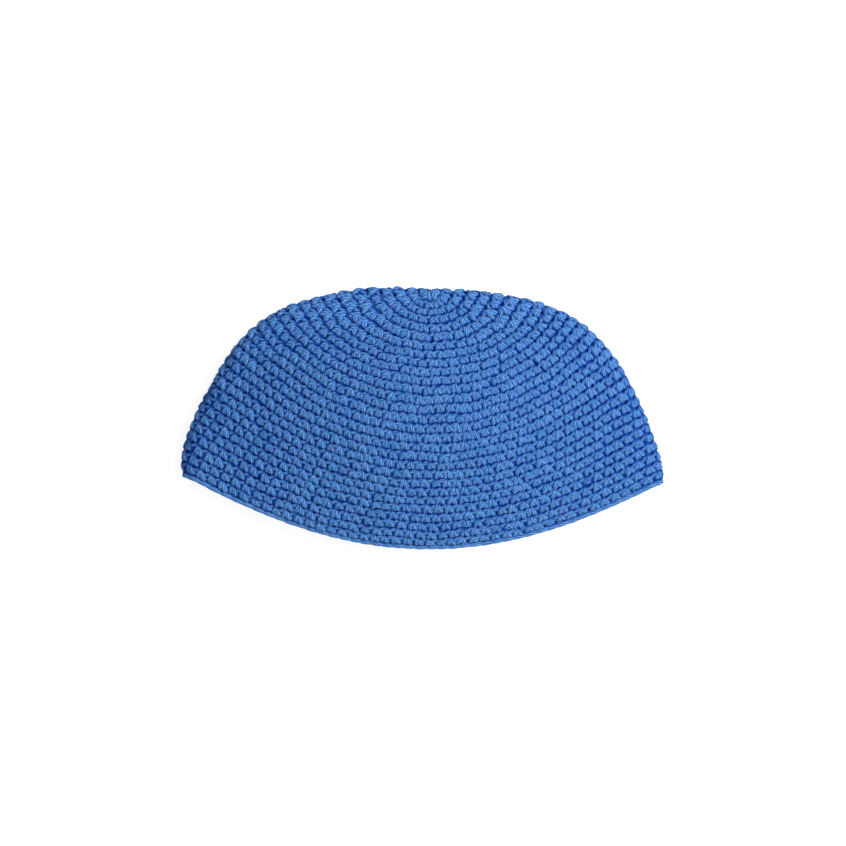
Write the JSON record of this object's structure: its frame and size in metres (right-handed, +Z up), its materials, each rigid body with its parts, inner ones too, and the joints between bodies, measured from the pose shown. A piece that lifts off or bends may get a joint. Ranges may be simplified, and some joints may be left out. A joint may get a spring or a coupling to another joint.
{
  "type": "kippah skullcap",
  "caption": "Deep crocheted kippah in blue cotton, folded in half and lying on its side, hollow and open at the mouth where the head goes in.",
  "frame": {"origin": "middle of the footprint, on the surface that the folded cap lies on", "axes": "+X along the fold from corner to corner, +Y from the mouth towards the pole, +Z up through the thickness of the folded cap"},
  "size_m": [0.239, 0.1293, 0.0436],
  "materials": {
    "crochet_yarn": "matte plied cotton yarn in mid blue, worked in tight single crochet"
  },
  "bodies": {
    "root": {"crown": "crochet_yarn", "edging": "crochet_yarn"}
  },
  "joints": []
}
